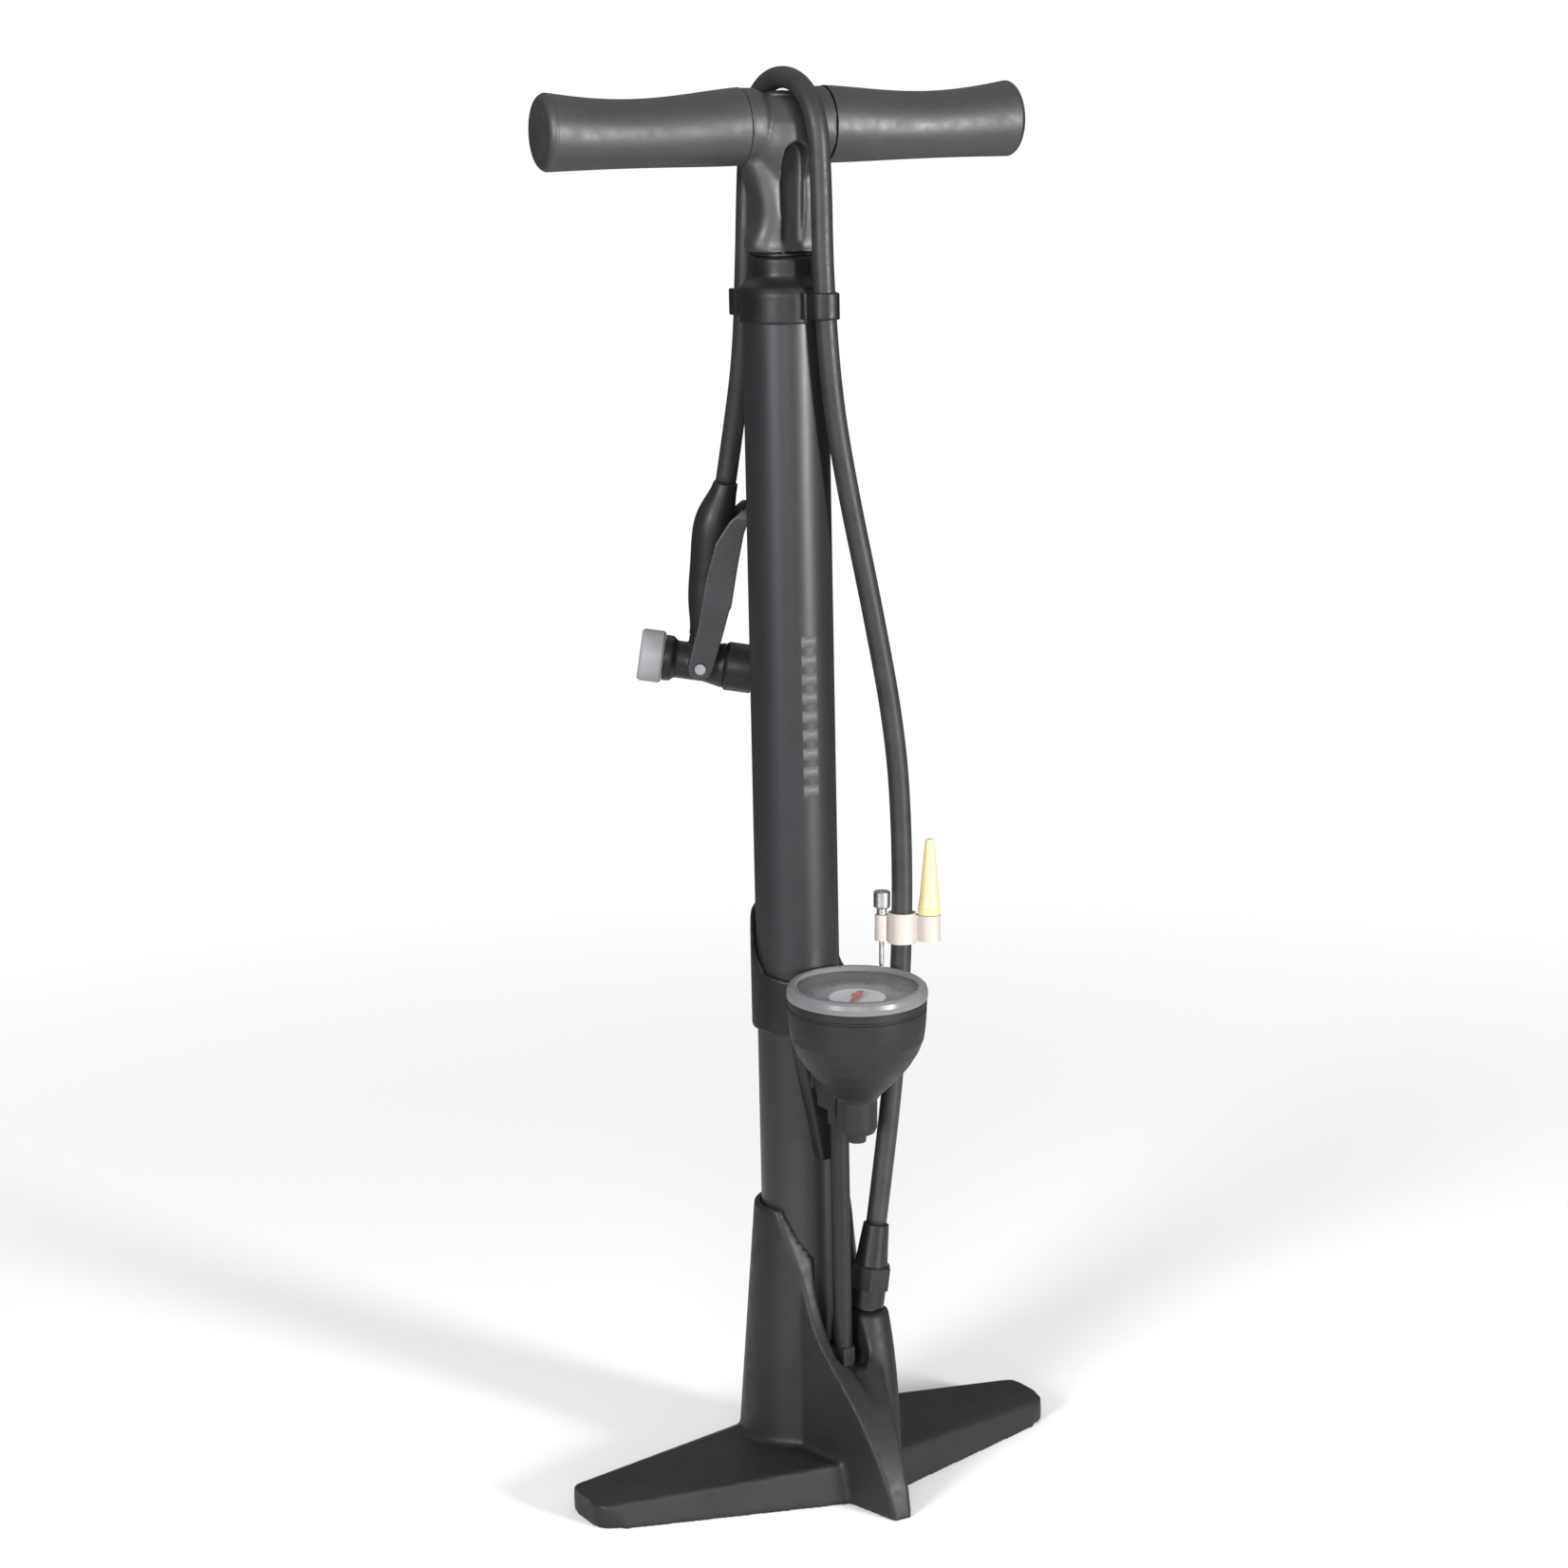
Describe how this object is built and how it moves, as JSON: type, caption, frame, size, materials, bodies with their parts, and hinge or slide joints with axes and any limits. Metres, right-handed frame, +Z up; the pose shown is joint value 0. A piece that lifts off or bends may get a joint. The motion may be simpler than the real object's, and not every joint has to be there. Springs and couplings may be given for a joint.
{
  "type": "floor bike pump",
  "caption": "Upright floor pump with a winged base and front fin, dial gauge, T-handle, twin-port lever head and a hose stowed over the handle",
  "frame": {"origin": "on the ground, on the barrel's axis, at the middle of the base's underside", "axes": "+Z up along the barrel; -Y is the front, with the fin and the gauge; the base's wings lie along X"},
  "size_m": [0.242, 0.1662, 0.6432],
  "materials": {
    "base_plastic": "satin moulded",
    "barrel_paint": "gloss gunmetal paint",
    "trim_plastic": "satin moulded",
    "handle_plastic": "satin moulded",
    "bezel_plastic": "silver-grey, satin",
    "gauge_plastic": "satin moulded",
    "lens_clear": "clear",
    "dial_face": "printed dial",
    "needle_red": "painted",
    "brass": "machined",
    "steel": "plated",
    "rod_chrome": "hard chrome",
    "rubber_black": "matt",
    "hose_rubber": "satin braided rubber",
    "head_plastic": "satin moulded",
    "lever_plastic": "satin moulded",
    "port_silver": "silver-grey, satin",
    "clip_clear": "translucent milky",
    "cone_yellow": "translucent pale yellow"
  },
  "bodies": {
    "frame": {"base": "base_plastic", "base_screws": "steel", "foot_plug": "trim_plastic", "foot_seal": "rubber_black", "valve_spring": "steel", "barrel": "barrel_paint", "top_cap": "trim_plastic", "rod_bushing": "trim_plastic", "stop_bumper": "rubber_black", "gauge_clamp": "trim_plastic", "clamp_screws": "steel", "gauge_cup": "gauge_plastic", "gauge_bezel": "bezel_plastic", "gauge_lens": "lens_clear", "gauge_dial": "dial_face", "movement_plate": "brass", "bourdon_tube": "brass", "gauge_pipe": "trim_plastic", "pipe_nuts": "trim_plastic", "outlet_seal": "rubber_black", "outlet_nut": "trim_plastic", "hose_ferrule": "trim_plastic", "hose_riser": "hose_rubber", "adapter_clip": "clip_clear"},
    "plunger": {"piston_rod": "rod_chrome", "piston": "trim_plastic", "cup_seal": "rubber_black", "piston_nut": "steel", "thrust_washer": "trim_plastic", "handle_bolt": "steel", "hose_drop": "hose_rubber", "head_neck": "head_plastic", "head_body": "head_plastic", "port_cap_left": "port_silver", "port_cap_right": "head_plastic", "grommet_left": "rubber_black", "grommet_right": "rubber_black"},
    "handle": {"handle_core": "handle_plastic", "hub_plug": "handle_plastic", "grip_left": "handle_plastic", "grip_right": "handle_plastic", "grip_cap_left": "handle_plastic", "grip_cap_right": "handle_plastic"},
    "lever": {"lock_lever": "lever_plastic", "lever_pin": "steel"},
    "valve_ball": {"check_ball": "steel"},
    "sector": {"sector_gear": "brass"},
    "needle": {"gauge_needle": "needle_red"},
    "ball_inflator": {"ball_needle": "steel"},
    "cone_inflator": {"cone_adapter": "cone_yellow"}
  },
  "joints": [
    {"name": "pump_stroke", "type": "slide", "parent": "frame", "child": "plunger", "axis": [0, 0, 1], "range_m": [0, 0.44]},
    {"name": "handle_turn", "type": "hinge", "parent": "plunger", "child": "handle", "pos_m": [0, 0, 0.6181], "axis": [0, 0, 1], "range_deg": [0, 28]},
    {"name": "lock_lever_fold", "type": "hinge", "parent": "plunger", "child": "lever", "pos_m": [-0.0152, 0.0574, 0.3742], "axis": [0.5018, 0.862, 0.0721], "range_deg": [0, 85]},
    {"name": "check_valve_lift", "type": "slide", "parent": "frame", "child": "valve_ball", "axis": [0, 0, -1], "range_m": [0, 0.002], "stiffness_N_per_m": 20, "springref_m": -0.002, "deforming": ["valve_spring"]},
    {"name": "sector_turn", "type": "hinge", "parent": "frame", "child": "sector", "pos_m": [0.015, -0.05164, 0.22991], "axis": [0, -0.0349, 0.9994], "range_deg": [0, 67.5], "stiffness_Nm_per_rad": 0.002, "springref_deg": -5.73},
    {"name": "needle_turn", "type": "hinge", "parent": "frame", "child": "needle", "pos_m": [0, -0.052, 0.2403], "axis": [0, -0.0349, 0.9994], "range_deg": [-270, 0]},
    {"name": "ball_needle_pull", "type": "slide", "parent": "frame", "child": "ball_inflator", "axis": [0.0333, 0.0148, 0.9993], "range_m": [0, 0.024]},
    {"name": "cone_adapter_pull", "type": "slide", "parent": "frame", "child": "cone_inflator", "axis": [0.0333, 0.0148, 0.9993], "range_m": [0, 0.014]}
  ],
  "couplings": [
    {"joint": "needle_turn", "follows": "sector_turn", "ratio": -4}
  ]
}
